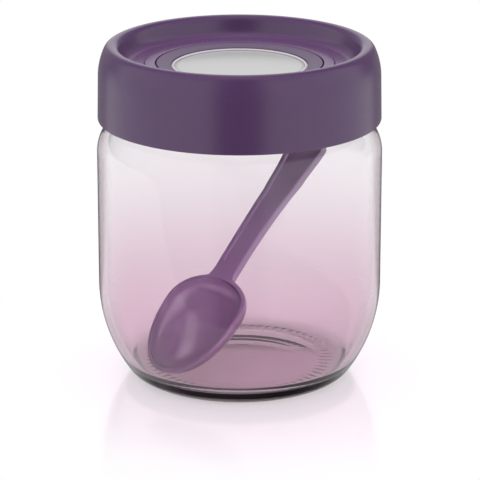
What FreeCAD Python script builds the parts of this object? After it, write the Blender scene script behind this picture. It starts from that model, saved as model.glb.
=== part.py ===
import FreeCAD, Part
import math
import os
from FreeCAD import Vector

# Glass body, all lengths in millimetres
body_diameter = 100.7
glass_wall = 3.0
floor_height = 6.0
heel_inset = 16.55
heel_radius = 52.7
heel_corner_radius = 8.0
inner_corner_radius = 6.0
bearing_width = 3.6
push_up_height = 2.2
shoulder_start = 82.3
shoulder_radius = 13.5
shoulder_inset = 7.85
inner_shoulder_radius = 12.6
inner_shoulder_drop = 0.6
neck_height = 13.1
neck_fillet = 1.6
rim_edge_radius = 1.1

# Space for the screw thread between the neck and the lid
thread_height = 1.1
thread_clearance = 0.4

# Gasket
gasket_thickness = 1.6
gasket_edge_radius = 0.4
gasket_clearance = 0.35
seal_clearance = 0.1
seat_clearance = 0.05

# Threaded inner cap
cap_plate = 1.2
cap_wall = 1.6
plug_clearance = 1.1
plug_wall = 1.2
plug_depth = 4.0
flange_height = 1.3
flange_clearance = 0.25
cap_edge_radius = 0.4

# Outer lid shell
lid_wall = 2.0
lid_floor = 1.6
lid_taper = 0.3
skirt_gap = 2.4
lid_edge_gap = 4.05
lid_edge_radius = 0.6
snap_bead_height = 0.6
snap_bead_span = 0.8
snap_bead_gap = 0.1
snap_bead_rise = 0.1
roll_width = 4.85
roll_height = 11.3
crest_radius = 3.0
recess_depth = 7.0
recess_wall_angle = 70
recess_fillet = 4.0
recess_ring_width = 3.85
plateau_step = 0.4
plateau_width = 3.95
plateau_edge_radius = 0.25

# Bezel ring and insert disc in the middle of the lid
bezel_gap = 0.4
bezel_width = 5.25
bezel_height = 1.75
bezel_drop = 0.75
bezel_edge_radius = 0.3
disc_flange_width = 1.5
disc_flange = 0.5
disc_face = 0.35
disc_clearance = 0.15
flange_gap = 0.05
disc_bead_width = 1.05
disc_bead_height = 0.9

# Spoon
bowl_length = 41.0
bowl_width = 34.0
bowl_depth = 9.5
bowl_wall = 1.3
handle_neck_width = 9.8
handle_end_width = 15.4
handle_thickness = 3.2
handle_arc_lead = 5.5
handle_arc_radius = 300.0
handle_trim = 3.9
handle_end_round = 4.5
handle_edge_radius = 0.6
root_width = 18.0
root_length = 7.0
root_overlap = 3.5
panel_border = 1.7
panel_depth = 0.9
panel_start = 2.5
panel_corner_radius = 1.6
spoon_tip_clearance = 0.75
spoon_tip_height = 5.5
spoon_end_clearance = 2.9
spoon_side_offset = 0.9
spoon_heading = 51

# Outline of the bowl from tip to neck: share of its length, share of half its width
bowl_outline_shares = (
    (0.0, 0.0), (0.045, 0.41), (0.15, 0.66), (0.32, 0.85), (0.5, 0.955),
    (0.66, 1.0), (0.79, 0.955), (0.89, 0.79), (0.965, 0.48), (1.0, 0.0),
)
bowl_deepest_share = 0.6
bowl_levels = 6
bowl_last_level_angle = 80

# How far a cubic curve bulges towards its two middle poles
bezier_reach_share = 0.75

# One overrun for every cut
overrun = 1.0

axis = Vector(0, 0, 1)


def at(radius, height):
    return Vector(radius, 0, height)


def line(start, end):
    return Part.LineSegment(start, end).toShape()


def polyline(*points):
    return [line(start, end) for start, end in zip(points, points[1:])]


def arc(centre, start, end):
    radius = (start - centre).Length
    towards = (start - centre).normalize() + (end - centre).normalize()
    return Part.Arc(start, centre + towards.normalize() * radius, end).toShape()


def revolve(edges):
    wire = Part.Wire(Part.__sortEdges__(edges))
    return Part.Face(wire).revolve(Vector(0, 0, 0), axis, 360)


def ring_edges(solid, points):
    chosen = []
    for edge in solid.Edges:
        if edge.Degenerated or not isinstance(edge.Curve, Part.Circle):
            continue
        ring = at(edge.Curve.Radius, edge.Curve.Center.z)
        if any(ring.isEqual(point, Part.Precision.confusion()) for point in points):
            chosen.append(edge)
    return chosen


def round_rings(solid, radius, *points):
    return solid.makeFillet(radius, ring_edges(solid, points))


def point_on(centre, towards, radius):
    return centre + (towards - centre).normalize() * radius


# Glass outline: flat bearing ring, two tangent heel arcs, straight wall, shoulder arc, neck
body_radius = body_diameter / 2
inner_radius = body_radius - glass_wall
bearing_radius = body_radius - heel_inset
heel_reach = heel_radius - heel_corner_radius
heel_run = bearing_radius + heel_radius - body_radius
heel_top = heel_corner_radius + math.sqrt(heel_reach ** 2 - heel_run ** 2)
heel_centre = at(body_radius - heel_radius, heel_top)
corner_centre = at(bearing_radius, heel_corner_radius)
heel_join = point_on(heel_centre, corner_centre, heel_radius)

inner_heel_radius = heel_radius - glass_wall
inner_corner_height = floor_height + inner_corner_radius
inner_reach = inner_heel_radius - inner_corner_radius
inner_run = math.sqrt(inner_reach ** 2 - (heel_top - inner_corner_height) ** 2)
inner_floor_radius = heel_centre.x + inner_run
inner_corner_centre = at(inner_floor_radius, inner_corner_height)
inner_join = point_on(heel_centre, inner_corner_centre, inner_heel_radius)

shoulder_centre = at(body_radius - shoulder_radius, shoulder_start)
inner_shoulder_start = shoulder_start - inner_shoulder_drop
inner_shoulder_centre = at(inner_radius - inner_shoulder_radius, inner_shoulder_start)
neck_radius = body_radius - shoulder_inset
mouth_radius = neck_radius - glass_wall


def arc_height(centre, arc_radius, radius):
    return centre.z + math.sqrt(arc_radius ** 2 - (radius - centre.x) ** 2)


neck_start = arc_height(shoulder_centre, shoulder_radius, neck_radius)
mouth_start = arc_height(inner_shoulder_centre, inner_shoulder_radius, mouth_radius)
rim_height = neck_start + neck_height


def make_glass_jar():
    push_up_edge = at(bearing_radius - bearing_width, 0)
    push_up_top = at(0, push_up_height)
    push_up_radius = (push_up_edge.x ** 2 + push_up_height ** 2) / (push_up_height * 2)
    outside = [
        arc(at(0, push_up_height - push_up_radius), push_up_top, push_up_edge),
        line(push_up_edge, at(bearing_radius, 0)),
        arc(corner_centre, at(bearing_radius, 0), heel_join),
        arc(heel_centre, heel_join, at(body_radius, heel_top)),
        line(at(body_radius, heel_top), at(body_radius, shoulder_start)),
        arc(shoulder_centre, at(body_radius, shoulder_start), at(neck_radius, neck_start)),
    ]
    rim = polyline(
        at(neck_radius, neck_start),
        at(neck_radius, rim_height),
        at(mouth_radius, rim_height),
        at(mouth_radius, mouth_start),
    )
    inside = [
        arc(inner_shoulder_centre, at(mouth_radius, mouth_start), at(inner_radius, inner_shoulder_start)),
        line(at(inner_radius, inner_shoulder_start), at(inner_radius, heel_top)),
        arc(heel_centre, at(inner_radius, heel_top), inner_join),
        arc(inner_corner_centre, inner_join, at(inner_floor_radius, floor_height)),
        line(at(inner_floor_radius, floor_height), at(0, floor_height)),
        line(at(0, floor_height), push_up_top),
    ]
    jar = revolve(outside + rim + inside)
    jar = round_rings(jar, rim_edge_radius, at(neck_radius, rim_height), at(mouth_radius, rim_height))
    return round_rings(jar, neck_fillet, at(neck_radius, neck_start), at(mouth_radius, mouth_start))


# Stack of the lid above the glass rim
gasket_bottom = rim_height + seal_clearance
gasket_top = gasket_bottom + gasket_thickness
plate_bottom = gasket_top + seat_clearance
plate_top = plate_bottom + cap_plate
well_floor = plate_top + lid_floor
plateau = well_floor + bezel_height
recess_floor = plateau - plateau_step
crest = recess_floor + recess_depth

# Radii of the lid, worked outwards from the neck
cap_bore = neck_radius + thread_height + thread_clearance
cap_radius = cap_bore + cap_wall
plug_radius = mouth_radius - plug_clearance
skirt_radius = cap_radius + skirt_gap
lid_radius = skirt_radius + lid_wall
roll_start = crest - roll_height
lid_top_radius = lid_radius - lid_taper
crest_ring = lid_top_radius - roll_width
lid_edge = arc_height(shoulder_centre, shoulder_radius, skirt_radius) + lid_edge_gap

# Snap bead just above the rounded lower edge of the skirt, with the cap's flange on top of it
bead_foot = lid_edge + lid_edge_radius + snap_bead_rise
bead_middle = bead_foot + snap_bead_span
bead_top = bead_middle + snap_bead_span
cap_edge = bead_top + snap_bead_gap


def make_lid_gasket():
    inner = plug_radius + gasket_clearance
    outer = cap_bore - gasket_clearance
    corners = [
        at(inner, gasket_bottom),
        at(outer, gasket_bottom),
        at(outer, gasket_top),
        at(inner, gasket_top),
    ]
    gasket = revolve(polyline(*corners, corners[0]))
    return round_rings(gasket, gasket_edge_radius, corners[0], corners[1])


def skirt_inside(height):
    share = (height - lid_edge) / (roll_start - lid_edge)
    return skirt_radius - lid_taper * share


def make_lid_inner_cap():
    flange_radius = skirt_inside(cap_edge) - flange_clearance
    plug_edge = plate_bottom - plug_depth
    profile = polyline(
        at(0, plate_top),
        at(cap_radius, plate_top),
        at(cap_radius, cap_edge + flange_height),
        at(flange_radius, cap_edge + flange_height),
        at(flange_radius, cap_edge),
        at(cap_bore, cap_edge),
        at(cap_bore, plate_bottom),
        at(plug_radius, plate_bottom),
        at(plug_radius, plug_edge),
        at(plug_radius - plug_wall, plug_edge),
        at(plug_radius - plug_wall, plate_bottom),
        at(0, plate_bottom),
        at(0, plate_top),
    )
    cap = revolve(profile)
    rounded = (at(cap_radius, plate_top), at(plug_radius, plug_edge), at(cap_bore, cap_edge))
    return round_rings(cap, cap_edge_radius, *rounded)


# Recess of the lid: the crest rolls over, a steep wall drops and a fillet runs out on the floor
wall_turn = math.radians(recess_wall_angle)
wall_direction = at(-math.cos(wall_turn), -math.sin(wall_turn))
wall_normal = at(-math.sin(wall_turn), math.cos(wall_turn))
turn_drop_share = 1 - math.cos(wall_turn)
wall_drop = recess_depth - (crest_radius + recess_fillet) * turn_drop_share
wall_length = wall_drop / math.sin(wall_turn)
crest_centre = at(crest_ring, crest - crest_radius)
wall_top = crest_centre + wall_normal * crest_radius
wall_foot = wall_top + wall_direction * wall_length
fillet_centre = wall_foot + wall_normal * recess_fillet
floor_start = fillet_centre.x

# Roll of the lid: one long arc from the skirt, tangent to the arc of the crest
roll_rise = roll_height - crest_radius
roll_radius = (roll_width ** 2 + roll_rise ** 2 - crest_radius ** 2) / (2 * (roll_width - crest_radius))
roll_centre = at(lid_top_radius - roll_radius, roll_start)

plateau_radius = floor_start - recess_ring_width
well_radius = plateau_radius - plateau_width
bezel_radius = well_radius - bezel_gap
bezel_bore = bezel_radius - bezel_width
disc_radius = bezel_bore + disc_flange_width


def top_curve(depth):
    inwards = wall_normal * -depth
    roll_join = point_on(roll_centre, crest_centre, roll_radius - depth)
    return [
        arc(roll_centre, at(lid_top_radius - depth, roll_start), roll_join),
        arc(crest_centre, roll_join, wall_top + inwards),
        line(wall_top + inwards, wall_foot + inwards),
        arc(fillet_centre, wall_foot + inwards, at(floor_start, recess_floor - depth)),
    ]


def make_lid_shell():
    bead_start = at(skirt_inside(bead_top), bead_top)
    bead_tip = at(skirt_inside(bead_middle) - snap_bead_height, bead_middle)
    bead_end = at(skirt_inside(bead_foot), bead_foot)
    well_outside = well_radius + lid_wall
    outer_face = polyline(
        at(skirt_radius, lid_edge),
        at(lid_radius, lid_edge),
        at(lid_top_radius, roll_start),
    )
    outer_face += top_curve(0)
    well = polyline(
        at(floor_start, recess_floor),
        at(plateau_radius, recess_floor),
        at(plateau_radius - plateau_step, plateau),
        at(well_radius, plateau),
        at(well_radius, well_floor),
        at(0, well_floor),
        at(0, plate_top),
        at(well_outside, plate_top),
        at(well_outside, recess_floor - lid_wall),
        at(floor_start, recess_floor - lid_wall),
    )
    hidden_face = top_curve(lid_wall)
    hidden_face += [
        line(at(lid_top_radius - lid_wall, roll_start), bead_start),
        Part.Arc(bead_start, bead_tip, bead_end).toShape(),
        line(bead_end, at(skirt_radius, lid_edge)),
    ]
    shell = revolve(outer_face + well + hidden_face)
    shell = round_rings(shell, lid_edge_radius, at(lid_radius, lid_edge), at(skirt_radius, lid_edge))
    edges = (at(well_radius, plateau), at(plateau_radius - plateau_step, plateau))
    return round_rings(shell, plateau_edge_radius, *edges)


def make_bezel_ring():
    lip_under = well_floor + disc_flange + flange_gap
    rebate = disc_radius + disc_clearance
    corners = [
        at(rebate, well_floor),
        at(bezel_radius, well_floor),
        at(bezel_radius, plateau),
        at(bezel_bore, plateau - bezel_drop),
        at(bezel_bore, lip_under),
        at(rebate, lip_under),
    ]
    ring = revolve(polyline(*corners, corners[0]))
    return round_rings(ring, bezel_edge_radius, at(bezel_radius, plateau))


def make_insert_disc():
    face = well_floor + disc_face
    flange_top = well_floor + disc_flange
    bead_outside = at(bezel_bore - disc_clearance, flange_top)
    bead_inside = at(bead_outside.x - disc_bead_width, face)
    bead_top = at(bead_outside.x - disc_bead_width / 2, well_floor + disc_bead_height)
    edges = polyline(
        bead_inside,
        at(0, face),
        at(0, well_floor),
        at(disc_radius, well_floor),
        at(disc_radius, flange_top),
        bead_outside,
    )
    edges.append(Part.Arc(bead_outside, bead_top, bead_inside).toShape())
    return revolve(edges)


# Spoon laid from tip to handle end along X, rim and root of the handle in the plane of zero height
spoon_tip_z = floor_height + spoon_tip_height
heel_depth = heel_top - spoon_tip_z
tip_wall = heel_centre.x + math.sqrt(inner_heel_radius ** 2 - heel_depth ** 2)
spoon_tip = at(tip_wall - spoon_tip_clearance, spoon_tip_z)
spoon_end = at(inner_radius - spoon_end_clearance, shoulder_start)
spoon_span = spoon_tip.x + spoon_end.x
spoon_rise = spoon_end.z - spoon_tip.z
spoon_length = math.hypot(spoon_span, spoon_rise) - handle_trim
spoon_pitch = math.degrees(math.atan2(spoon_rise, spoon_span))


def bowl_ring(length, width, scale_share, depth):
    deepest = bowl_length * bowl_deepest_share
    half = []
    for along_share, across_share in bowl_outline_shares:
        half.append(((along_share - bowl_deepest_share) * length, across_share * width / 2))
    whole = half + [(along, -across) for along, across in reversed(half[1:-1])]
    points = []
    for along, across in whole:
        points.append(Vector(deepest + along * scale_share, across * scale_share, -depth))
    curve = Part.BSplineCurve()
    curve.interpolate(points, PeriodicFlag=True)
    return Part.Wire(curve.toShape())


def bowl_form(length, width, depth):
    rings = []
    for level in range(bowl_levels):
        angle = math.radians(bowl_last_level_angle * level / (bowl_levels - 1))
        rings.append(bowl_ring(length, width, math.cos(angle), depth * math.sin(angle)))
    return Part.makeLoft(rings, True)


# Sides of the handle: parallel at the neck, spreading along a parabola towards the round end
neck_end = bowl_length + root_length - root_overlap
spread_end = spoon_length - handle_end_round
spread_length = spread_end - neck_end


def handle_half_width(along):
    share = (along - neck_end) / spread_length
    return (handle_neck_width + (handle_end_width - handle_neck_width) * share ** 2) / 2


def handle_spread(along):
    share = (along - neck_end) / spread_length
    return (handle_end_width - handle_neck_width) * share / spread_length


def handle_side(start, end, inset, side):
    start_half = handle_half_width(start) - inset
    middle_half = start_half + handle_spread(start) * (end - start) / 2
    curve = Part.BezierCurve()
    curve.setPoles([
        Vector(start, side * start_half, 0),
        Vector((start + end) / 2, side * middle_half, 0),
        Vector(end, side * (handle_half_width(end) - inset), 0),
    ])
    return curve.toShape()


# Side view of the handle: straight out of the bowl, then one long arc that drops towards the end
arc_start = neck_end + handle_arc_lead
arc_centre = at(arc_start, -handle_arc_radius)
arc_turn = math.asin((spoon_length + overrun - arc_start) / (handle_arc_radius - handle_thickness))
arc_end = at(math.sin(arc_turn), math.cos(arc_turn))
handle_drop = handle_arc_radius * (1 - math.cos(arc_turn))


def prism(edges, move, extrusion):
    face = Part.Face(Part.Wire(Part.__sortEdges__(edges)))
    face.translate(move)
    return face.extrude(extrusion)


def curved_slab(top, bottom):
    top_end = arc_centre + arc_end * (handle_arc_radius + top)
    bottom_end = arc_centre + arc_end * (handle_arc_radius + bottom)
    edges = polyline(at(arc_start, top), at(0, top), at(0, bottom), at(arc_start, bottom))
    edges.append(arc(arc_centre, at(arc_start, bottom), bottom_end))
    edges.append(line(bottom_end, top_end))
    edges.append(arc(arc_centre, at(arc_start, top), top_end))
    return prism(edges, Vector(0, -bowl_width / 2, 0), Vector(0, bowl_width, 0))


def curved_plate(edges, top, bottom, corner_radius=0):
    deep = handle_drop + handle_thickness + overrun * 2
    block = prism(edges, Vector(0, 0, overrun), Vector(0, 0, -deep))
    if corner_radius:
        upright = [edge for edge in block.Edges if edge.BoundBox.ZLength > handle_thickness]
        block = block.makeFillet(corner_radius, upright)
    return block.common(curved_slab(top, bottom))


def make_panel_pocket():
    start = neck_end + panel_start
    start_half = Vector(0, handle_half_width(start) - panel_border, 0)
    end_half = Vector(0, handle_half_width(spread_end) - panel_border, 0)
    start_middle = Vector(start, 0, 0)
    end_middle = Vector(spread_end, 0, 0)
    edges = [handle_side(start, spread_end, panel_border, side) for side in (1, -1)]
    edges.append(line(start_middle - start_half, start_middle + start_half))
    edges.append(line(end_middle - end_half, end_middle + end_half))
    return curved_plate(edges, overrun, -panel_depth, panel_corner_radius)


def make_handle():
    root = bowl_length - root_overlap
    root_waist = root + root_length / 2
    end_reach = handle_end_round / bezier_reach_share
    end_pole = spread_end + end_reach
    end_half = handle_half_width(spread_end)
    pole_half = end_half + handle_spread(spread_end) * end_reach
    edges = []
    for side in (1, -1):
        flare = Part.BezierCurve()
        flare.setPoles([
            Vector(root, side * root_width / 2, 0),
            Vector(root_waist, side * handle_neck_width / 2, 0),
            Vector(neck_end, side * handle_neck_width / 2, 0),
        ])
        edges += [flare.toShape(), handle_side(neck_end, spread_end, 0, side)]
    half_root = Vector(0, root_width / 2, 0)
    root_middle = Vector(root, 0, 0)
    edges.append(line(root_middle + half_root, root_middle - half_root))
    round_end = Part.BezierCurve()
    round_end.setPoles([
        Vector(spread_end, end_half, 0),
        Vector(end_pole, pole_half, 0),
        Vector(end_pole, -pole_half, 0),
        Vector(spread_end, -end_half, 0),
    ])
    edges.append(round_end.toShape())
    handle = curved_plate(edges, 0, -handle_thickness)
    outer = [edge for edge in handle.Edges if edge.BoundBox.XLength > handle_edge_radius]
    return handle.cut(make_panel_pocket()).makeFillet(handle_edge_radius, outer)


def make_spoon():
    bowl = bowl_form(bowl_length, bowl_width, bowl_depth)
    inner_length = bowl_length - bowl_wall * 2
    inner_width = bowl_width - bowl_wall * 2
    hollow = bowl_form(inner_length, inner_width, bowl_depth - bowl_wall)
    spoon = bowl.fuse(make_handle()).cut(hollow).removeSplitter()
    spoon.rotate(Vector(0, 0, 0), Vector(0, 1, 0), -spoon_pitch)
    spoon.translate(Vector(-spoon_tip.x, spoon_side_offset, spoon_tip.z))
    spoon.rotate(Vector(0, 0, 0), axis, spoon_heading)
    return spoon


nodes = {
    "glass_jar": make_glass_jar(),
    "lid_gasket": make_lid_gasket(),
    "lid_inner_cap": make_lid_inner_cap(),
    "lid_shell": make_lid_shell(),
    "bezel_ring": make_bezel_ring(),
    "insert_disc": make_insert_disc(),
    "spoon": make_spoon(),
}

os.makedirs("parts", exist_ok=True)
for name, shape in nodes.items():
    shape.exportStep(os.path.join("parts", name + ".step"))
    print(name, len(shape.Solids), shape.isValid(), round(shape.Volume), shape.BoundBox)
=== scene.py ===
import bpy
import math
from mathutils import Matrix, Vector


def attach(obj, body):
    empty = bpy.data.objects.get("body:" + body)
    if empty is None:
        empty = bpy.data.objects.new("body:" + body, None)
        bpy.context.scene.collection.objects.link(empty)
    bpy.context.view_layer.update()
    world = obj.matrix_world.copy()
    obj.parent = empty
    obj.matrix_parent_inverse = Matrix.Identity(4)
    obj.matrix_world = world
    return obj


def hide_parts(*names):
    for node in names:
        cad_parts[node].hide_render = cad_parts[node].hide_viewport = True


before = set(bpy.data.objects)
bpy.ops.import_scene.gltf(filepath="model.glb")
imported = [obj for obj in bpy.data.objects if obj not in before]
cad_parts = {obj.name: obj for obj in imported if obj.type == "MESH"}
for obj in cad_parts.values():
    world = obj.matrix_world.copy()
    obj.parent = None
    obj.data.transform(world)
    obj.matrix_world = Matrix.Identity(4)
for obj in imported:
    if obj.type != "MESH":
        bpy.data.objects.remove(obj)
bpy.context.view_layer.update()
mm = 0.001
onSurface = 0.01  # mm, a point this near counts as on a surface
mergeGap = 0.003  # mm, points this near become one
print("frame loaded:", ", ".join(sorted(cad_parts)))


# profiles are lists of (radius, height) in mm, turned round the jar's axis
def arcRun(centre, radius, start, end, count):
    points = []
    for step in range(count + 1):
        angle = math.radians(start + (end - start) * step / count)
        points.append((centre[0] + radius * math.cos(angle), centre[1] + radius * math.sin(angle)))
    return points


def straightRun(start, end, count):  # only the points between the two ends
    points = []
    for step in range(1, count):
        share = step / count
        points.append((start[0] + (end[0] - start[0]) * share, start[1] + (end[1] - start[1]) * share))
    return points


def softBend(start, corner, end, count):
    points = []
    for step in range(count + 1):
        t = step / count
        a, b, c = (1 - t) ** 2, 2 * t * (1 - t), t * t
        points.append(tuple(a * start[i] + b * corner[i] + c * end[i] for i in (0, 1)))
    return points


def angleOf(centre, point):
    return math.degrees(math.atan2(point[1] - centre[1], point[0] - centre[0]))


def roundedLoop(corners, count=4):  # corners are (radius, height, how far back the bend starts)
    points = []
    for i, (radius, height, reach) in enumerate(corners):
        here = Vector((radius, height))
        before = Vector(corners[i - 1][:2])
        after = Vector(corners[(i + 1) % len(corners)][:2])
        if reach == 0:
            points.append(tuple(here))
            continue
        start = here + (before - here).normalized() * reach
        end = here + (after - here).normalized() * reach
        points += softBend(start, here, end, count)
    return points + points[:1]


def lathe(name, profile, steps):
    bpy.ops.object.select_all(action="DESELECT")
    bpy.ops.mesh.primitive_plane_add(size=mm)
    piece = bpy.context.object
    piece.name = name
    piece.data.name = name
    bpy.ops.object.mode_set(mode="EDIT")
    bpy.ops.mesh.select_all(action="SELECT")
    bpy.ops.mesh.merge(type="CENTER")  # one vertex left to draw the profile with
    bpy.ops.transform.translate(value=(profile[0][0] * mm, 0, profile[0][1] * mm))
    for here, there in zip(profile, profile[1:]):
        move = ((there[0] - here[0]) * mm, 0, (there[1] - here[1]) * mm)
        bpy.ops.mesh.extrude_vertices_move(TRANSFORM_OT_translate={"value": move})
    bpy.ops.mesh.select_all(action="SELECT")
    bpy.ops.mesh.spin(steps=steps, angle=math.tau, center=(0, 0, 0), axis=(0, 0, 1))
    bpy.ops.mesh.select_all(action="SELECT")
    bpy.ops.mesh.remove_doubles(threshold=mergeGap * mm)
    bpy.ops.mesh.normals_make_consistent(inside=False)
    bpy.ops.object.mode_set(mode="OBJECT")
    return piece


def smoothPiece(piece, angle):
    bpy.ops.object.select_all(action="DESELECT")
    piece.select_set(True)
    bpy.context.view_layer.objects.active = piece
    bpy.ops.object.shade_smooth_by_angle(angle=math.radians(angle))


def fade(low, high, value):
    share = min(max((value - low) / (high - low), 0), 1)
    return share * share * (3 - 2 * share)


def settle(piece, body, node):
    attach(piece, body)
    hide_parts(node)
    print(piece.name, "made,", len(piece.data.polygons), "faces, rides on", body)


# one screw for the neck and the cap
screw = {
    "lead": 20.0,
    "starts": 4,
    "height": 1.0,
    "width": 0.42,
    "edge": 0.5,
    "runOut": 1.2,
}


def threadRise(x, y, height, shift):
    turn = math.atan2(y, x) / math.tau
    place = ((height / screw["lead"] - turn) * screw["starts"] + shift) % 1
    away = abs(place - 0.5) / (screw["width"] / 2)
    return screw["height"] * (1 - fade(screw["edge"], 1, away))


def raiseThread(piece, wallRadius, foot, head, shift, way):  # way is 1 outwards, -1 inwards
    for vertex in piece.data.vertices:
        x, y, z = (value / mm for value in vertex.co)
        radius = math.hypot(x, y)
        if abs(radius - wallRadius) > onSurface:
            continue
        near = fade(foot, foot + screw["runOut"], z) * (1 - fade(head - screw["runOut"], head, z))
        scale = 1 + way * near * threadRise(x, y, z, shift) / radius
        vertex.co.x *= scale
        vertex.co.y *= scale


# glass body
glass = {
    "bodyRadius": 50.33,
    "wall": 3.0,
    "floor": 6.0,
    "bearingRadius": 33.8,
    "bearingWidth": 3.6,
    "pushUp": 2.2,
    "heelRadius": 52.7,
    "cornerRadius": 8.0,
    "innerCorner": 6.0,
    "shoulderStart": 82.3,
    "shoulderRadius": 13.5,
    "innerShoulder": 12.6,
    "innerDrop": 0.6,
    "neckRadius": 42.5,
    "neckHeight": 13.1,
    "neckBend": 2.2,
    "rimRadius": 1.1,
    "threadFoot": 2.4,
    "threadHead": 1.6,
    "knurls": 64,
    "knurlDepth": 0.22,
    "knurlSides": (0.35, 0.65),
    "floorSlack": 0.5,
    "steps": 256,
    "smoothAngle": 60,
}


def glassProfile(s):
    heelReach = s["heelRadius"] - s["cornerRadius"]
    heelX = s["bodyRadius"] - s["heelRadius"]
    heelTop = s["cornerRadius"] + math.sqrt(heelReach ** 2 - (s["bearingRadius"] - heelX) ** 2)
    heel = (heelX, heelTop)
    corner = (s["bearingRadius"], s["cornerRadius"])
    joint = angleOf(heel, corner)
    innerReach = s["heelRadius"] - s["wall"] - s["innerCorner"]
    innerHeight = s["floor"] + s["innerCorner"]
    innerX = heelX + math.sqrt(innerReach ** 2 - (heelTop - innerHeight) ** 2)
    innerCorner = (innerX, innerHeight)
    innerJoint = angleOf(heel, innerCorner)
    shoulder = (s["bodyRadius"] - s["shoulderRadius"], s["shoulderStart"])
    innerShoulder = s["innerShoulder"]
    innerRadius = s["bodyRadius"] - s["wall"]
    innerTop = (innerRadius - innerShoulder, s["shoulderStart"] - s["innerDrop"])
    mouth = s["neckRadius"] - s["wall"]
    neckStart = shoulder[1] + math.sqrt(s["shoulderRadius"] ** 2 - (s["neckRadius"] - shoulder[0]) ** 2)
    mouthStart = innerTop[1] + math.sqrt(innerShoulder ** 2 - (mouth - innerTop[0]) ** 2)
    rim = neckStart + s["neckHeight"]

    edge = s["bearingRadius"] - s["bearingWidth"]
    pushRadius = (edge ** 2 + s["pushUp"] ** 2) / (2 * s["pushUp"])
    pushCentre = (0, s["pushUp"] - pushRadius)
    points = arcRun(pushCentre, pushRadius, 90, angleOf(pushCentre, (edge, 0)), 24)
    points += straightRun((edge, 0), (s["bearingRadius"], 0), 6)
    points += arcRun(corner, s["cornerRadius"], -90, joint, 10)
    points += arcRun(heel, s["heelRadius"], joint, 0, 24)[1:]
    points += straightRun((s["bodyRadius"], heelTop), (s["bodyRadius"], s["shoulderStart"]), 12)
    bendBack = math.degrees(s["neckBend"] / s["shoulderRadius"])
    neckAngle = angleOf(shoulder, (s["neckRadius"], neckStart)) - bendBack
    outer = arcRun(shoulder, s["shoulderRadius"], 0, neckAngle, 18)
    neckFoot = (s["neckRadius"], neckStart + s["neckBend"])
    points += outer[:-1] + softBend(outer[-1], (s["neckRadius"], neckStart), neckFoot, 6)
    neckHead = (s["neckRadius"], rim - s["rimRadius"])
    points += straightRun(neckFoot, neckHead, 32)
    points += arcRun((s["neckRadius"] - s["rimRadius"], neckHead[1]), s["rimRadius"], 0, 90, 6)
    points += arcRun((mouth + s["rimRadius"], neckHead[1]), s["rimRadius"], 90, 180, 6)
    innerBack = math.degrees(s["neckBend"] / innerShoulder)
    innerAngle = angleOf(innerTop, (mouth, mouthStart)) - innerBack
    inner = arcRun(innerTop, innerShoulder, innerAngle, 0, 14)
    mouthFoot = (mouth, mouthStart + s["neckBend"])
    points += straightRun((mouth, neckHead[1]), mouthFoot, 8)
    points += softBend(mouthFoot, (mouth, mouthStart), inner[0], 6) + inner[1:]
    points += straightRun((innerRadius, innerTop[1]), (innerRadius, heelTop), 12)
    points += arcRun(heel, s["heelRadius"] - s["wall"], 0, innerJoint, 22)
    points += arcRun(innerCorner, s["innerCorner"], innerJoint, -90, 10)[1:]
    points += straightRun((innerX, s["floor"]), (0, s["floor"]), 12) + [(0, s["floor"])]
    return points, neckStart, rim


def knurlBearing(piece, s):
    for vertex in piece.data.vertices:
        x, y, z = (value / mm for value in vertex.co)
        radius = math.hypot(x, y)
        if z < onSurface and s["bearingRadius"] - s["bearingWidth"] < radius < s["bearingRadius"]:
            wave = 0.5 - 0.5 * math.cos(math.atan2(y, x) * s["knurls"])
            vertex.co.z += s["knurlDepth"] * fade(*s["knurlSides"], wave) * mm


def markOuterSkin(piece, s):  # 1 on the outside of the glass, 0 inside the jar
    skin = piece.data.attributes.new("outerSkin", "FLOAT", "POINT")
    inwards = 0.0001 * mm
    for vertex in piece.data.vertices:
        outwards = vertex.normal.x * vertex.co.x + vertex.normal.y * vertex.co.y
        inJar = vertex.co.z > (s["floor"] - s["floorSlack"]) * mm and outwards < inwards
        skin.data[vertex.index].value = 0.0 if inJar else 1.0


glassPoints, neckStart, glassRim = glassProfile(glass)
jar = lathe("jar_glass", glassPoints, glass["steps"])
raiseThread(jar, glass["neckRadius"], neckStart + glass["threadFoot"], glassRim - glass["threadHead"], 0, 1)
knurlBearing(jar, glass)
markOuterSkin(jar, glass)
smoothPiece(jar, glass["smoothAngle"])
settle(jar, "jar", "glass_jar")


# lid shell: tapered skirt, rolled rim, dished top with a round well
shell = {
    "skirtRadius": 48.0,
    "lidRadius": 49.988,
    "taper": 0.3,
    "edge": 93.961,
    "edgeRound": 0.7,
    "rollStart": 109.261,
    "rollWidth": 4.85,
    "rollHeight": 11.2995,
    "crestRadius": 3.0,
    "wallAngle": 70,
    "recessDepth": 7.0,
    "recessFillet": 4.0,
    "ringWidth": 3.85,
    "step": 0.4,
    "plateauWidth": 3.95,
    "edgeSoft": 0.3,
    "wellFloor": 112.211,
    "wellUnder": 110.611,
    "wall": 2.0,
    "beadTop": 96.261,
    "beadSpan": 0.8,
    "beadHeight": 0.6,
    "beadParts": (0, 0.3, 0.6, 1.0, 1.4, 1.7, 2),
    "steps": 224,
    "smoothAngle": 40,
}


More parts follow.
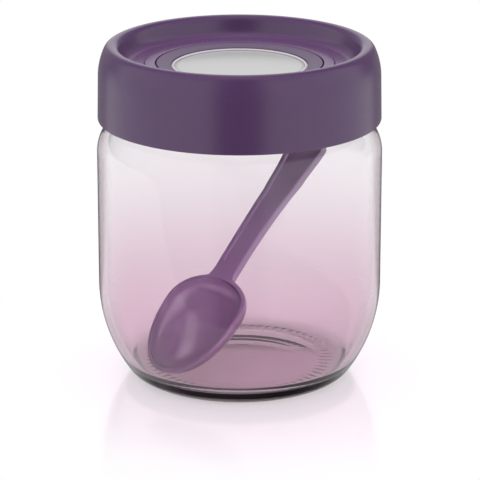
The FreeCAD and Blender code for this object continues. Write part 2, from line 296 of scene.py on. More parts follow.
def shellProfile(s):
    top = s["lidRadius"] - s["taper"]
    crest = s["rollStart"] + s["rollHeight"]
    crestCentre = (top - s["rollWidth"], crest - s["crestRadius"])
    rise = s["rollHeight"] - s["crestRadius"]
    spread = s["rollWidth"] - s["crestRadius"]
    rollRadius = (s["rollWidth"] ** 2 + rise ** 2 - s["crestRadius"] ** 2) / (2 * spread)
    rollCentre = (top - rollRadius, s["rollStart"])
    rollTurn = angleOf(rollCentre, crestCentre)
    turn = math.radians(s["wallAngle"])
    drop = s["recessDepth"] - (s["crestRadius"] + s["recessFillet"]) * (1 - math.cos(turn))
    wallLength = drop / math.sin(turn)
    lean = (-math.sin(turn), math.cos(turn))
    down = (-math.cos(turn), -math.sin(turn))
    foot = [crestCentre[i] + lean[i] * s["crestRadius"] + down[i] * wallLength for i in (0, 1)]
    fillet = [foot[i] + lean[i] * s["recessFillet"] for i in (0, 1)]
    recessFloor = crest - s["recessDepth"]
    plateau = recessFloor + s["step"]
    plateauRadius = fillet[0] - s["ringWidth"]
    well = plateauRadius - s["plateauWidth"]
    wellOut = well + s["wall"]

    def topCurve(depth):
        run = arcRun(rollCentre, rollRadius - depth, 0, rollTurn, 16)[:-1]
        run += arcRun(crestCentre, s["crestRadius"] - depth, rollTurn, 90 + s["wallAngle"], 16)
        run += arcRun(fillet, s["recessFillet"] + depth, s["wallAngle"] - 90, -90, 14)
        return run

    def skirtInside(height):
        return s["skirtRadius"] - s["taper"] * (height - s["edge"]) / (s["rollStart"] - s["edge"])

    soft = s["edgeSoft"]
    inner, outer, edge, bend = s["skirtRadius"], s["lidRadius"], s["edge"], s["edgeRound"]
    stepSide = (plateauRadius - s["step"] / 2, recessFloor + s["step"] / 2)
    stepTop = plateauRadius - s["step"]
    points = softBend((inner, edge + bend), (inner, edge), (inner + bend, edge), 4)
    points += softBend((outer - bend, edge), (outer, edge), (outer, edge + bend), 5)
    points += straightRun((outer, edge + bend), (top, s["rollStart"]), 8)
    points += topCurve(0)
    points += softBend((plateauRadius + soft, recessFloor), (plateauRadius, recessFloor), stepSide, 3)
    points += softBend(stepSide, (stepTop, plateau), (stepTop - soft, plateau), 3)[1:]
    points += softBend((well + soft, plateau), (well, plateau), (well, plateau - soft), 4)
    points += [(well, s["wellFloor"]), (0, s["wellFloor"]), (0, s["wellUnder"]), (wellOut, s["wellUnder"])]
    points += [(wellOut, recessFloor - s["wall"])] + topCurve(s["wall"])[::-1]
    for part in s["beadParts"]:  # the bead that holds the inner cap
        height = s["beadTop"] - s["beadSpan"] * part
        swell = s["beadHeight"] * math.sin(part * math.pi / 2)
        points.append((skirtInside(height) - swell, height))
    return points + points[:1], plateau, well


shellPoints, plateau, wellRadius = shellProfile(shell)
lidShell = lathe("lid_cover", shellPoints, shell["steps"])
smoothPiece(lidShell, shell["smoothAngle"])
settle(lidShell, "lid", "lid_shell")


# bezel ring round the disc
bezel = {
    "gap": 0.4,
    "width": 5.25,
    "drop": 0.75,
    "rebate": 25.6,
    "lipUnder": 112.761,
    "edgeSoft": 0.3,
    "steps": 192,
    "smoothAngle": 40,
}
bezelOut = wellRadius - bezel["gap"]
bezelBore = bezelOut - bezel["width"]
bezelCorners = [
    (bezel["rebate"], shell["wellFloor"], 0),
    (bezelOut, shell["wellFloor"], 0),
    (bezelOut, plateau, bezel["edgeSoft"]),
    (bezelBore, plateau - bezel["drop"], bezel["edgeSoft"]),
    (bezelBore, bezel["lipUnder"], 0),
    (bezel["rebate"], bezel["lipUnder"], 0),
]
bezelRing = lathe("lid_bezel", roundedLoop(bezelCorners), bezel["steps"])
smoothPiece(bezelRing, bezel["smoothAngle"])
settle(bezelRing, "lid", "bezel_ring")


# pale disc with a raised bead at its edge
disc = {
    "face": 0.35,
    "flange": 0.5,
    "radius": 25.45,
    "clearance": 0.15,
    "beadWidth": 1.05,
    "beadHeight": 0.9,
    "beadSteps": 10,
    "steps": 192,
    "smoothAngle": 40,
}
discFace = shell["wellFloor"] + disc["face"]
beadOut = bezelBore - disc["clearance"]
beadIn = beadOut - disc["beadWidth"]


def discProfile(s, bottom):
    points = [(0, bottom), (s["radius"], bottom)]
    points += [(s["radius"], bottom + s["flange"]), (beadOut, bottom + s["flange"])]
    for step in range(1, s["beadSteps"]):
        share = step / s["beadSteps"]
        base = s["flange"] + (s["face"] - s["flange"]) * share
        swell = (s["beadHeight"] - base) * math.sin(share * math.pi)
        points.append((beadOut + (beadIn - beadOut) * share, bottom + base + swell))
    rimEnd, middle = (beadIn, discFace), (0, discFace)
    return points + [rimEnd] + straightRun(rimEnd, middle, 10) + [middle]


insertDisc = lathe("lid_disc", discProfile(disc, shell["wellFloor"]), disc["steps"])
smoothPiece(insertDisc, disc["smoothAngle"])
settle(insertDisc, "lid", "insert_disc")


# inner cap with the screw inside and a plug ring
cap = {
    "plateTop": 110.611,
    "plateUnder": 109.411,
    "bore": 44.0,
    "radius": 45.6,
    "edge": 96.361,
    "flange": 47.70,
    "flangeHeight": 1.3,
    "plugRadius": 38.4,
    "plugWall": 1.2,
    "plugDepth": 4.0,
    "edgeSoft": 0.4,
    "threadFoot": 1.2,
    "threadHead": 2.6,
    "threadShift": 0.5,
    "steps": 224,
    "smoothAngle": 40,
}


def capProfile(s):
    top, under, edge = s["plateTop"], s["plateUnder"], s["edge"]
    radius, bore, plug, soft = s["radius"], s["bore"], s["plugRadius"], s["edgeSoft"]
    flangeTop = edge + s["flangeHeight"]
    plugEdge = under - s["plugDepth"]
    plugIn = plug - s["plugWall"]
    points = [(0, top)] + softBend((radius - soft, top), (radius, top), (radius, top - soft), 4)
    points += [(radius, flangeTop), (s["flange"], flangeTop), (s["flange"], edge)]
    points += softBend((bore + soft, edge), (bore, edge), (bore, edge + soft), 4)
    points += straightRun((bore, edge + soft), (bore, under), 40) + [(bore, under), (plug, under)]
    points += softBend((plug, plugEdge + soft), (plug, plugEdge), (plug - soft, plugEdge), 4)
    return points + [(plugIn, plugEdge), (plugIn, under), (0, under)]


innerCap = lathe("lid_screw_cap", capProfile(cap), cap["steps"])
capFoot = cap["edge"] + cap["threadFoot"]
capHead = cap["plateUnder"] - cap["threadHead"]
raiseThread(innerCap, cap["bore"], capFoot, capHead, cap["threadShift"], -1)
smoothPiece(innerCap, cap["smoothAngle"])
settle(innerCap, "lid", "lid_inner_cap")


# gasket: flat ring with a small groove underneath
gasket = {
    "inner": 38.75,
    "outer": 43.65,
    "bottom": 107.761,
    "top": 109.361,
    "edgeSoft": 0.4,
    "backSoft": 0.2,
    "grooveAt": 41.9,
    "grooveDepth": 0.3,
    "grooveHalf": 0.5,
    "grooveFloor": 0.2,
    "grooveSoft": 0.1,
    "steps": 192,
    "smoothAngle": 40,
}


def gasketProfile(s):
    roof = s["bottom"] + s["grooveDepth"]
    return roundedLoop([
        (s["inner"], s["bottom"], s["edgeSoft"]),
        (s["grooveAt"] - s["grooveHalf"], s["bottom"], s["grooveSoft"]),
        (s["grooveAt"] - s["grooveFloor"], roof, s["grooveSoft"]),
        (s["grooveAt"] + s["grooveFloor"], roof, s["grooveSoft"]),
        (s["grooveAt"] + s["grooveHalf"], s["bottom"], s["grooveSoft"]),
        (s["outer"], s["bottom"], s["edgeSoft"]),
        (s["outer"], s["top"], s["backSoft"]),
        (s["inner"], s["top"], s["backSoft"]),
    ])


gasketRing = lathe("lid_gasket_ring", gasketProfile(gasket), gasket["steps"])
smoothPiece(gasketRing, gasket["smoothAngle"])
settle(gasketRing, "seal", "lid_gasket")


# spoon: sections across it from the tip of the bowl to the end of the handle
spoon = {
    "bowlLength": 41.0,
    "bowlWidth": 34.0,
    "bowlDepth": 9.5,
    "wall": 1.3,
    "widest": 0.66,
    "deepest": 0.6,
    "tipCurve": (2.1, 0.48),
    "heelCurve": (2.3, 0.5),
    "sinkCurve": (2.3, 0.5),
    "hollowCurve": 0.8,
    "underCurve": 0.85,
    "boxCurve": 0.22,
    "length": 107.12,
    "neckWidth": 9.8,
    "endWidth": 15.4,
    "bendStart": 50.0,
    "bendRadius": 300.0,
    "neckAt": 44.5,
    "rootFlare": 4.0,
    "rootReach": 9.0,
    "rootFrom": -8.0,
    "rootTo": -5.5,
    "sideBlend": 9,
    "depthBlend": 5,
    "flatFrom": -6.0,
    "flatTo": 4.0,
    "endRound": 4.5,
    "endCurve": (2.4, 0.5),
    "thick": 3.2,
    "edge": 0.6,
    "edgeShare": 0.45,
    "panelStart": 47.0,
    "panelEnd": 105.0,
    "panelBorder": 1.7,
    "panelDepth": 0.9,
    "panelCorner": 1.6,
    "panelSlope": 0.35,
    "panelSide": 0.3,
    "panelLead": 0.05,
    "slopeEnd": 0.36,
    "slopeNext": 0.4,
    "hollowSteps": 12,
    "rimSteps": 4,
    "underSteps": 14,
    "bowlSteps": 60,
    "endSteps": 18,
    "mergeGap": 0.004,
    "sliverGap": 0.002,
    "smoothAngle": 38,
    "pitch": 39.62,
    "heading": 51.0,
    "tip": (-41.07, 0.9, 11.5),
}


def humpShare(share, peak, before, after):  # 1 at the peak, 0 at both ends
    if share <= 0 or share >= 1:
        return 0
    if share < peak:
        away = (peak - share) / peak
        power, root = before
    else:
        away = (share - peak) / (1 - peak)
        power, root = after
    return (1 - away ** power) ** root


def bowlHalf(s, along, length, width):
    return width / 2 * humpShare(along / length, s["widest"], s["tipCurve"], s["heelCurve"])


def bowlSink(s, along, length, depth):
    return depth * humpShare(along / length, s["deepest"], s["sinkCurve"], s["sinkCurve"])


def handleHalf(s, along):
    end = s["length"] - s["endRound"]
    share = (along - s["neckAt"]) / (end - s["neckAt"])
    half = (s["neckWidth"] + (s["endWidth"] - s["neckWidth"]) * max(share, 0) ** 2) / 2
    if along > end:
        power, root = s["endCurve"]
        half *= max(1 - ((along - end) / s["endRound"]) ** power, 0) ** root
    if along < s["neckAt"]:
        half += s["rootFlare"] * ((s["neckAt"] - along) / s["rootReach"]) ** 2
    return half


def blendMax(first, second, sharp):
    return (first ** sharp + second ** sharp) ** (1 / sharp)


def bowlHollow(s, along):  # from the middle line outwards
    inside = along - s["wall"]
    length = s["bowlLength"] - 2 * s["wall"]
    half = bowlHalf(s, inside, length, s["bowlWidth"] - 2 * s["wall"])
    sink = bowlSink(s, inside, length, s["bowlDepth"] - s["wall"])
    points = []
    for step in range(s["hollowSteps"] + 1):
        angle = math.radians(90 * step / s["hollowSteps"])
        points.append((half * math.sin(angle), -sink * math.cos(angle) ** s["hollowCurve"]))
    return points


def panelHollow(s, along):
    corner = s["panelCorner"]
    near = min(along - s["panelStart"], s["panelEnd"] - along, corner)
    cut = corner - math.sqrt(corner ** 2 - (corner - near) ** 2)  # round corners of the panel
    half = handleHalf(s, along) - s["panelBorder"] - cut
    sink = s["panelDepth"] * fade(0, s["panelSlope"], near)
    floorHalf = max(half - s["panelSide"], 0)
    points = []
    for step in range(s["hollowSteps"]):
        share = step / (s["hollowSteps"] - 1)
        points.append((floorHalf * share, -sink))
    return points + [(max(half, 0), 0)]


def spoonSection(s, along):
    root = s["bowlLength"]
    onHandle = fade(root + s["rootFrom"], root + s["rootTo"], along)
    half = bowlHalf(s, along, s["bowlLength"], s["bowlWidth"])
    depth = bowlSink(s, along, s["bowlLength"], s["bowlDepth"])
    if onHandle > 0:
        half = blendMax(half, handleHalf(s, along) * onHandle, s["sideBlend"])
        depth = blendMax(depth, s["thick"] * onHandle, s["depthBlend"])
    onPanel = s["panelStart"] < along < s["panelEnd"]
    points = panelHollow(s, along) if onPanel else bowlHollow(s, along)
    edge = min(s["edge"], half * s["edgeShare"], depth * s["edgeShare"])
    for step in range(s["rimSteps"] + 1):  # rounded rim
        angle = math.radians(90 - 90 * step / s["rimSteps"])
        points.append((half - edge + edge * math.cos(angle), -edge + edge * math.sin(angle)))
    flat = fade(root + s["flatFrom"], root + s["flatTo"], along)
    for step in range(1, s["underSteps"] + 1):  # underside, back to the middle line
        angle = math.radians(90 * step / s["underSteps"])
        across, down = math.cos(angle), math.sin(angle)
        bowl = (half * across, -edge - (depth - edge) * down ** s["underCurve"])
        bar = (half * abs(across) ** s["boxCurve"], -edge - (depth - edge) * down ** s["boxCurve"])
        points.append(tuple(bowl[i] + (bar[i] - bowl[i]) * flat for i in (0, 1)))
    return points


def handleBend(s, along, height):  # the handle drops towards its end along one long arc
    if along <= s["bendStart"]:
        return along, height
    turn = math.asin((along - s["bendStart"]) / s["bendRadius"])
    reach = s["bendRadius"] + height
    return s["bendStart"] + reach * math.sin(turn), reach * math.cos(turn) - s["bendRadius"]


def spoonStations(s):
    stations = []
    for step in range(s["bowlSteps"] + 1):
        stations.append(s["bowlLength"] * (1 - math.cos(math.pi * step / s["bowlSteps"])) / 2)
    start, end, corner = s["panelStart"], s["panelEnd"], s["panelCorner"]
    runs = [  # closer where the panel's ends slope down
        (s["bowlLength"], start - s["panelLead"], 14),
        (start, start + s["slopeEnd"], 5),
        (start + s["slopeNext"], start + corner, 6),
        (start + corner, end - corner, 30),
        (end - corner, end - s["slopeNext"], 6),
        (end - s["slopeEnd"], end, 5),
    ]
    for first, last, count in runs:
        stations += [first + (last - first) * step / count for step in range(1, count + 1)]
    for step in range(1, s["endSteps"] + 1):
        stations.append(end + (s["length"] - end) * math.sin(math.pi / 2 * step / s["endSteps"]))
    return stations


def buildSpoon(name, s):
    stations = spoonStations(s)
    around = len(spoonSection(s, stations[0])) * 2
    bpy.ops.object.select_all(action="DESELECT")
    bpy.ops.mesh.primitive_grid_add(x_subdivisions=len(stations) - 1, y_subdivisions=around)
    piece = bpy.context.object
    piece.name = name
    piece.data.name = name
    ordered = sorted(piece.data.vertices, key=lambda v: (round(v.co.x, 5), round(v.co.y, 5)))
    for row, along in enumerate(stations):
        half = spoonSection(s, along)
        ring = half + [(-across, height) for across, height in reversed(half)]
        for column in range(around + 1):
            across, height = ring[column % around]
            out, up = handleBend(s, along, height)
            ordered[row * (around + 1) + column].co = (out * mm, across * mm, up * mm)
    bpy.ops.object.mode_set(mode="EDIT")
    bpy.ops.mesh.select_all(action="SELECT")
    bpy.ops.mesh.remove_doubles(threshold=s["mergeGap"] * mm)
    bpy.ops.mesh.dissolve_degenerate(threshold=s["sliverGap"] * mm)
    bpy.ops.mesh.normals_make_consistent(inside=False)
    bpy.ops.object.mode_set(mode="OBJECT")
    heading = math.radians(s["heading"])
    tip = Vector(s["tip"]) * mm
    piece.rotation_euler = (0, -math.radians(s["pitch"]), heading)
    piece.location = (tip.x * math.cos(heading) - tip.y * math.sin(heading),
                      tip.x * math.sin(heading) + tip.y * math.cos(heading), tip.z)
    bpy.ops.object.transform_apply(location=True, rotation=True, scale=True)
    return piece


spoonPiece = buildSpoon("scoop_spoon", spoon)
smoothPiece(spoonPiece, spoon["smoothAngle"])
settle(spoonPiece, "spoon", "spoon")


# materials
class Wire:
    def __init__(self, tree, socket=None):
        self.tree = tree
        self.socket = socket

    def add(self, kind, settings=None, inputs=None, output=0):
        node = self.tree.nodes.new(kind)
        for key, value in (settings or {}).items():
            setattr(node, key, value)
        for key, value in (inputs or {}).items():
            if isinstance(value, Wire):
                self.tree.links.new(value.socket, node.inputs[key])
            else:
                node.inputs[key].default_value = value
        return Wire(self.tree, node.outputs[output] if node.outputs else None)

    def maths(self, operation, first, second=0.0):
        return self.add("ShaderNodeMath", {"operation": operation}, {0: first, 1: second})

    def __add__(self, other):
        return self.maths("ADD", self, other)

    def __sub__(self, other):
        return self.maths("SUBTRACT", self, other)

    def __mul__(self, other):
        return self.maths("MULTIPLY", self, other)

    def __rsub__(self, other):
        return self.maths("SUBTRACT", other, self)

    def __gt__(self, other):
        return self.maths("GREATER_THAN", self, other)

    def __abs__(self):
        return self.maths("ABSOLUTE", self)

    __radd__ = __add__
    __rmul__ = __mul__


def newMaterial(name):
    material = bpy.data.materials.new(name)
    material.use_nodes = True
    material.node_tree.nodes.clear()
    return material, Wire(material.node_tree)


def useMaterial(piece, material):
    piece.data.materials.clear()
    piece.data.materials.append(material)


def speckle(shader, place, scale, detail=2.0):
    return shader.add("ShaderNodeTexNoise", None, {"Vector": place, "Scale": scale, "Detail": detail})


def blendColour(shader, factor, first, second, blend="MIX"):
    colours = [value if isinstance(value, Wire) else (*value, 1) for value in (first, second)]
    settings = {"data_type": "RGBA", "blend_type": blend}
    return shader.add("ShaderNodeMix", settings, {0: factor, 6: colours[0], 7: colours[1]}, 2)


def ramp(shader, value, span, first=0.0, last=1.0, kind="SMOOTHSTEP"):
    return shader.add("ShaderNodeMapRange", {"interpolation_type": kind}, {
        0: value, 1: span[0], 2: span[1], 3: first, 4: last})


def inMetres(span):
    return [value * mm for value in span]


def axisPart(shader, vector, axis):
    return shader.add("ShaderNodeSeparateXYZ", None, {0: vector}, axis)


def vectorMaths(shader, operation, inputs, output=0):
    return shader.add("ShaderNodeVectorMath", {"operation": operation}, inputs, output)


def flatPart(shader, vector):
    return vectorMaths(shader, "MULTIPLY", {0: vector, 1: (1, 1, 0)})


def lengthOf(shader, vector):
    return vectorMaths(shader, "LENGTH", {0: vector}, "Value")


def lightPath(shader, kind):
    return shader.add("ShaderNodeLightPath", output=kind)


lidPlastic = {
    "dark": (0.072, 0.026, 0.100),
    "light": (0.082, 0.031, 0.112),
    "cloudScale": 60,
    "grainScale": 3800,
    "grainDetail": 3.0,
    "roughness": 0.26,
    "roughSpread": 0.08,
    "bump": 0.12,
    "bumpDepth": 0.05,
    "ior": 1.6,
    "coat": 0.0,
    "coatRoughness": 0.2,
    "coatIor": 1.5,
}
shellPlastic = dict(lidPlastic, paintedDishLight=(0.112, 0.050, 0.140), paintedDishLightSpan=(38.0, 42.0))
bezelPlastic = dict(lidPlastic, dark=(0.070, 0.030, 0.094), light=(0.078, 0.034, 0.102), roughness=0.36)
capPlastic = dict(lidPlastic, dark=(0.68, 0.67, 0.65), light=(0.74, 0.73, 0.71), roughness=0.45, ior=1.49)
gasketRubber = dict(lidPlastic, dark=(0.62, 0.61, 0.59), light=(0.70, 0.69, 0.67), roughness=0.6, bump=0.2)
spoonPlastic = dict(lidPlastic, dark=(0.195, 0.098, 0.225), light=(0.215, 0.110, 0.247), roughness=0.24,
                    bump=0.03, ior=1.7, coat=1.0, coatRoughness=0.16, coatIor=1.8)


def mouldedPlastic(name, s):
    material, shader = newMaterial(name)
    place = shader.add("ShaderNodeTexCoord", output="Object")
    cloud = speckle(shader, place, s["cloudScale"])
    grain = speckle(shader, place, s["grainScale"], s["grainDetail"])
    colour = blendColour(shader, cloud, s["dark"], s["light"])
    bump = shader.add("ShaderNodeBump", None, {
        "Strength": s["bump"], "Distance": s["bumpDepth"] * mm, "Height": grain})
    if "paintedDishLight" in s:  # painted light: the sunk top's floor and fillet are painted a little lighter than the lid, standing in for the light they mirror
        radius = lengthOf(shader, flatPart(shader, place))
        paintedDishLight = ramp(shader, radius, inMetres(s["paintedDishLightSpan"]), 1.0, 0.0)
        colour = blendColour(shader, paintedDishLight, colour, s["paintedDishLight"])
    skin = shader.add("ShaderNodeBsdfPrincipled", None, {
        "Base Color": colour, "Roughness": s["roughness"] + (grain - 0.5) * s["roughSpread"],
        "Normal": bump, "IOR": s["ior"], "Coat Weight": s["coat"],
        "Coat Roughness": s["coatRoughness"], "Coat IOR": s["coatIor"]})
    shader.add("ShaderNodeOutputMaterial", None, {"Surface": skin})
    return material


useMaterial(lidShell, mouldedPlastic("lid_purple", shellPlastic))
useMaterial(bezelRing, mouldedPlastic("bezel_purple", bezelPlastic))
useMaterial(innerCap, mouldedPlastic("cap_natural", capPlastic))
useMaterial(gasketRing, mouldedPlastic("gasket_white", gasketRubber))
useMaterial(spoonPiece, mouldedPlastic("spoon_purple", spoonPlastic))


discPlastic = {
    "dark": (0.385, 0.39, 0.385),
    "light": (0.425, 0.43, 0.425),
    "grainScale": 2500,
    "bead": (0.66, 0.61, 0.65),
    "beadSpan": (0.08, 0.2),
    "shade": (0.26, 0.25, 0.26),
    "paintedShadeWidth": 1.6,
    "ringScale": 900,
    "ringDistortion": 1.5,
    "ringDetail": 2.0,
    "bump": 0.05,
    "bumpDepth": 0.03,
    "roughness": 0.16,
    "roughSpread": 0.08,
}


def discFinish(name, s):
    material, shader = newMaterial(name)
    place = shader.add("ShaderNodeTexCoord", output="Object")
    rings = shader.add("ShaderNodeTexWave", {"wave_type": "RINGS", "rings_direction": "Z"}, {
        "Vector": place, "Scale": s["ringScale"], "Distortion": s["ringDistortion"],
        "Detail": s["ringDetail"]}, 1)
    grain = speckle(shader, place, s["grainScale"])
    colour = blendColour(shader, grain, s["dark"], s["light"])
    # painted shade: the disc is painted darker just inside the bead, where the bezel would shade it
    radius = lengthOf(shader, flatPart(shader, place))
    corner = ramp(shader, radius, inMetres((beadIn - s["paintedShadeWidth"], beadIn)))
    colour = blendColour(shader, corner, colour, s["shade"])
    # painted highlight: the raised bead is painted lighter, as if its rounded edge caught the light
    beadFoot, beadHead = s["beadSpan"]
    beadHighlightBand = inMetres((discFace + beadFoot, discFace + beadHead))
    bead = ramp(shader, axisPart(shader, place, 2), beadHighlightBand, kind="LINEAR")
    colour = blendColour(shader, bead, colour, s["bead"])
    bump = shader.add("ShaderNodeBump", None, {
        "Strength": s["bump"], "Distance": s["bumpDepth"] * mm, "Height": rings})
    skin = shader.add("ShaderNodeBsdfPrincipled", None, {
        "Base Color": colour, "Normal": bump,
        "Roughness": s["roughness"] + (rings - 0.5) * s["roughSpread"]})
    shader.add("ShaderNodeOutputMaterial", None, {"Surface": skin})
    return material


useMaterial(insertDisc, discFinish("disc_grey", discPlastic))


glassFinish = {
    "clear": (1.0, 0.99, 1.0),
    "tinted": (0.855, 0.695, 0.785),
    "tintSpan": (15.0, 88.0),
    "heelShadeColour": (0.40, 0.32, 0.36),
    "heelShadeSpan": (2.0, 7.5),
    "bandLow": 3.1,
    "bandHigh": 5.4,
    "bandSoft": 0.5,
    "shadowBandShare": 0.97,
    "bandFacing": (0.5, 0.85),
    "bandSides": 0.3,
    "density": 16.0,
    "depthColour": (0.08, 0.0, 0.05),
    "uprightLean": (0.5, 0.85),
    "sideShadeColour": (0.66, 0.54, 0.60),
    "sideShadeFacing": (0.56, 0.76),
    "shadeLineColour": (0.015, 0.010, 0.015),
    "shadeLineFacing": (0.80, 0.99),
    "shadeLineShare": 0.8,
    "roughness": 0.0,
    "ior": 1.5,
    "mirrorTint": (0.65, 0.65, 0.65),
    "rippleScale": 45,
    "rippleDetail": 1.0,
    "rippleBump": 0.03,
    "rippleDepth": 0.4,
}


def clearGlass(name, s):
    material, shader = newMaterial(name)
    place = shader.add("ShaderNodeTexCoord", output="Object")
    height = axisPart(shader, place, 2)
    radius = lengthOf(shader, flatPart(shader, place))
    facing = shader.add("ShaderNodeLayerWeight", None, {"Blend": 0.5}, "Facing")
    normal = shader.add("ShaderNodeNewGeometry", None, None, "Normal")
    outwards = 1 - shader.add("ShaderNodeNewGeometry", None, None, "Backfacing")
    outerSkin = shader.add("ShaderNodeAttribute", {"attribute_name": "outerSkin"}, None, "Fac")

    # faint cast that fades out upwards; from outside the heel is painted darker, partly for the deep glass
    # there and partly as painted shade for the shadow under the jar seen through it
    colour = blendColour(shader, ramp(shader, height, inMetres(s["tintSpan"])), s["tinted"], s["clear"])
    heel = ramp(shader, height, inMetres(s["heelShadeSpan"]), 1.0, 0.0)
    heel = heel * (radius > (glass["bearingRadius"] - glass["bearingWidth"]) * mm) * outwards
    colour = blendColour(shader, heel, colour, s["heelShadeColour"])

    # the sides are painted darker, partly for the thicker glass there and partly as painted shade for the
    # dark surroundings they refract, ending in a painted dark line
    lean = abs(axisPart(shader, normal, 2))
    upright = ramp(shader, lean, s["uprightLean"], 1.0, 0.0, "LINEAR") * outerSkin
    edge = ramp(shader, facing, s["sideShadeFacing"]) * upright
    line = ramp(shader, facing, s["shadeLineFacing"], 0.0, s["shadeLineShare"]) * upright
    colour = blendColour(shader, edge, colour, s["sideShadeColour"], "MULTIPLY")

    # painted shadow: a dark band low on the heel, weaker at the sides, stands in for the shadow under the
    # jar seen through the base
    low, high, soft = s["bandLow"], s["bandHigh"], s["bandSoft"]
    band = ramp(shader, height, inMetres((low - soft, low)), 0.0, s["shadowBandShare"])
    band = band * ramp(shader, height, inMetres((high, high + soft)), 1.0, 0.0)
    band = band * outerSkin * outwards * ramp(shader, facing, s["bandFacing"], 1.0, s["bandSides"])

    ripple = speckle(shader, place, s["rippleScale"], s["rippleDetail"])
    bump = shader.add("ShaderNodeBump", None, {
        "Strength": s["rippleBump"], "Distance": s["rippleDepth"] * mm, "Height": ripple})
    skin = shader.add("ShaderNodeBsdfPrincipled", None, {
        "Base Color": colour, "Roughness": s["roughness"], "IOR": s["ior"], "Normal": bump,
        "Transmission Weight": 1.0, "Specular Tint": (*s["mirrorTint"], 1)})
    # painted shade: a dark diffuse sheet is mixed in on the side line and on the dark band low on the heel
    dark = shader.add("ShaderNodeBsdfDiffuse", None, {"Color": (*s["shadeLineColour"], 1)})
    paintedShadeShare = shader.maths("MAXIMUM", line, band)
    body = shader.add("ShaderNodeMixShader", None, {0: paintedShadeShare, 1: skin, 2: dark})
    depth = shader.add("ShaderNodeVolumeAbsorption", None, {
        "Color": (*s["depthColour"], 1), "Density": s["density"]})
    shader.add("ShaderNodeOutputMaterial", None, {"Surface": body, "Volume": depth})
    return material


useMaterial(jar, clearGlass("clear_glass", glassFinish))
print("materials set")


def seenDirectly(shader):  # 1 for what is seen, mirrored or seen through glass, 0 for soft light
    kinds = lightPath(shader, "Is Camera Ray") + lightPath(shader, "Is Glossy Ray")
    kinds = kinds + lightPath(shader, "Is Transmission Ray")
    return shader.maths("MINIMUM", kinds, 1.0)


# pale floor, in metres: white where it is far off, with shade, a dull mirror and painted pink light near
# the jar
floorLook = {
    "size": 6.0,
    "front": 0.125,
    "drop": 0.00002,
    "colour": (0.95, 0.95, 0.95),
    "nearPinkLightColour": (0.98, 0.87, 0.935),
    "roughness": 0.05,
    "roughSpread": 0.02,
    "mottleScale": 40,
    "underShare": 0.40,
    "whiteShare": 0.72,
    "baseSpan": (0.030, 0.042),
    "whiteSpan": (0.05, 0.12),
    "paintedLightPoolColour": (1.17, 1.07, 1.15),
    "paintedLightPoolSpan": (0.030, 0.048),
    "behindLevel": (0.3, 0.3, 0.3),
    "behindSpan": (0.55, 0.70),
    "mirrorShare": 0.24,
    "mirrorRoughness": 0.18,
}


def floorFinish(name, s):
    material, shader = newMaterial(name)
    place = shader.add("ShaderNodeTexCoord", output="Object")
    away = lengthOf(shader, place)
    faded = ramp(shader, away, s["whiteSpan"])
    beside = ramp(shader, away, s["baseSpan"], s["underShare"], s["whiteShare"])
    white = beside + faded * (1 - s["whiteShare"])
    mottle = speckle(shader, place, s["mottleScale"])
    # painted light: near the jar the floor is painted pink, for light that came through the tinted glass
    paint = shader.add("ShaderNodeBsdfPrincipled", None, {
        "Base Color": blendColour(shader, faded, s["nearPinkLightColour"], s["colour"]),
        "Roughness": s["roughness"] + (mottle - 0.5) * s["roughSpread"]})
    towards = vectorMaths(shader, "NORMALIZE", {0: place})
    behind = ramp(shader, axisPart(shader, towards, 1), s["behindSpan"])
    mirrored = lightPath(shader, "Is Glossy Ray") * (1 - lightPath(shader, "Is Transmission Ray"))
    dimmed = mirrored * behind * faded  # what the lid mirrors of the floor behind the jar
    tone = blendColour(shader, dimmed, (1, 1, 1), s["behindLevel"])
    # painted light: a pink pool of light glows round the jar's foot for the camera, a little brighter than
    # white
    lightPool = ramp(shader, away, s["paintedLightPoolSpan"]) * (1 - faded) * lightPath(shader, "Is Camera Ray")
    tone = blendColour(shader, lightPool, tone, s["paintedLightPoolColour"])
    glow = shader.add("ShaderNodeEmission", None, {"Color": tone, "Strength": 1.0})
    mirror = shader.add("ShaderNodeBsdfAnisotropic", None, {
        "Color": (1, 1, 1, 1), "Roughness": s["mirrorRoughness"]})
    near = (1 - faded) * s["mirrorShare"]
    glow = shader.add("ShaderNodeMixShader", None, {0: near, 1: glow, 2: mirror})
    mixed = shader.add("ShaderNodeMixShader", None, {0: white * seenDirectly(shader), 1: paint, 2: glow})
    shader.add("ShaderNodeOutputMaterial", None, {"Surface": mixed})
    return material


bpy.ops.object.select_all(action="DESELECT")
floorMiddle = floorLook["size"] / 2 - floorLook["front"]  # the table ends a little in front of the jar
bpy.ops.mesh.primitive_plane_add(size=floorLook["size"], location=(0, floorMiddle, -floorLook["drop"]))
floor = bpy.context.object
floor.name = "floor"
bpy.ops.object.transform_apply(location=True, rotation=True, scale=True)
useMaterial(floor, floorFinish("floor_white", floorLook))


# white room; the spans are shares of a ray's direction to the right, to the back or up
room = {
    "softLevel": 0.85,
    "frontShade": 0.12,
    "frontSides": (0.22, 0.45),
    "topShade": 0.6,
    "topSpan": (0.5, 0.85),
    "backLeft": 0.38,
    "backRight": 0.25,
    "backSides": (-0.4, 0.4),
    "backSpan": (0.35, 0.6),
    "backGap": (0.95, 0.985),
    "insideLeft": 0.1,
    "insideSpan": (-0.5, 0.2),
    "insideLight": 13.5,
    "lightUp": (0.0, 0.15),
    "lightFront": (-0.3, 0.1),
    "lightLeft": (-0.45, 0.25),
    "lightRight": (0.35, 0.8),
}


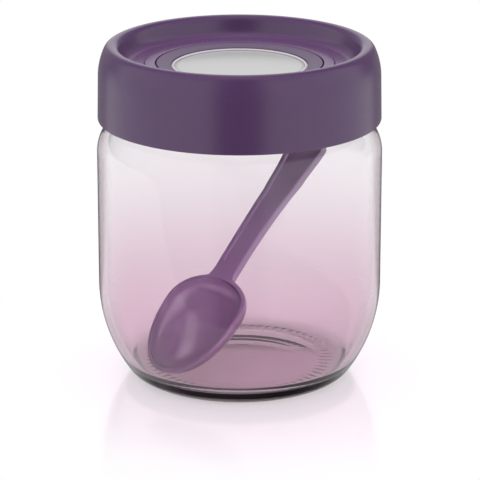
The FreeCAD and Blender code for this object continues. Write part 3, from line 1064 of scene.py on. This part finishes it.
def paintRoom(tree, s):
    shader = Wire(tree)
    ray = shader.add("ShaderNodeTexCoord", output="Generated")
    level = vectorMaths(shader, "NORMALIZE", {0: flatPart(shader, ray)})
    right = axisPart(shader, level, 0)
    back = axisPart(shader, level, 1)
    up = axisPart(shader, ray, 2)
    glossy = lightPath(shader, "Is Glossy Ray")
    through = lightPath(shader, "Is Transmission Ray")
    turned = shader.maths("MINIMUM", lightPath(shader, "Glossy Depth"), 1.0)
    inside = glossy * through * turned  # mirrored by the spoon or within the glass
    outside = glossy * (1 - through)  # mirrored by the lid or the face of the glass

    openSide = shader.maths("MAXIMUM", ramp(shader, abs(right), s["frontSides"]), back > 0.0)
    shade = 1 - outside * (1 - openSide) * (1 - s["frontShade"])  # dim room behind the camera
    shade = shade * (1 - outside * ramp(shader, up, s["topSpan"]) * (1 - s["topShade"]))
    backCorners = ramp(shader, back, s["backSpan"]) * ramp(shader, back, s["backGap"], 1.0, 0.0)
    backDim = ramp(shader, right, s["backSides"], 1 - s["backLeft"], 1 - s["backRight"])
    shade = shade * (1 - outside * backCorners * backDim)
    shade = shade * (1 - inside * ramp(shader, right, s["insideSpan"], 1 - s["insideLeft"], 0.0))

    light = ramp(shader, up, s["lightUp"], 0.0, s["insideLight"] - 1)
    light = light * ramp(shader, back, s["lightFront"], 1.0, 0.0)
    light = light * ramp(shader, right, s["lightLeft"]) * ramp(shader, right, s["lightRight"], 1.0, 0.0)
    light = light * shader.maths("MINIMUM", lightPath(shader, "Diffuse Depth"), 1.0)
    strength = (s["softLevel"] + seenDirectly(shader) * (1 - s["softLevel"])) * shade
    strength = strength + through * light  # makes up for the lid's shade inside the jar
    sky = shader.add("ShaderNodeBackground", None, {"Color": (1, 1, 1, 1), "Strength": strength})
    shader.add("ShaderNodeOutputWorld", None, {"Surface": sky})


world = bpy.data.worlds.new("studio")
bpy.context.scene.world = world
world.use_nodes = True
world.node_tree.nodes.clear()
paintRoom(world.node_tree, room)


# one soft box above, and the camera at the photograph's angle, in metres
softBox = {
    "place": (0.0, 0.10, 0.75),
    "size": (0.9, 0.7),
    "power": 2.8,
    "aim": (0, 0, 0.06),
}
view = {
    "target": (0, 0, 0.055),
    "distance": 1.0,
    "elevation": 17.28,
    "lens": 210.4,
    "sensor": 36,
    "shift": (0.0009, -0.0361),
}


def placeLooking(name, data, spot, target):
    holder = bpy.data.objects.new(name, data)
    bpy.context.collection.objects.link(holder)
    holder.location = spot
    holder.rotation_euler = (Vector(target) - Vector(spot)).to_track_quat("-Z", "Y").to_euler()
    return holder


lamp = bpy.data.lights.new("soft_box", "AREA")
lamp.shape = "RECTANGLE"
lamp.size, lamp.size_y = softBox["size"]
lamp.energy = softBox["power"]
lampHolder = placeLooking("soft_box", lamp, softBox["place"], softBox["aim"])
lampHolder.visible_glossy = False

tilt = math.radians(view["elevation"])
eye = Vector(view["target"]) + Vector((0, -math.cos(tilt), math.sin(tilt))) * view["distance"]
cameraData = bpy.data.cameras.new("photo_view")
cameraData.lens = view["lens"]
cameraData.sensor_width = view["sensor"]
cameraData.shift_x, cameraData.shift_y = view["shift"]
bpy.context.scene.camera = placeLooking("photo_view", cameraData, eye, view["target"])
bpy.context.scene.view_settings.view_transform = "Standard"
print("stage, lights and camera set")
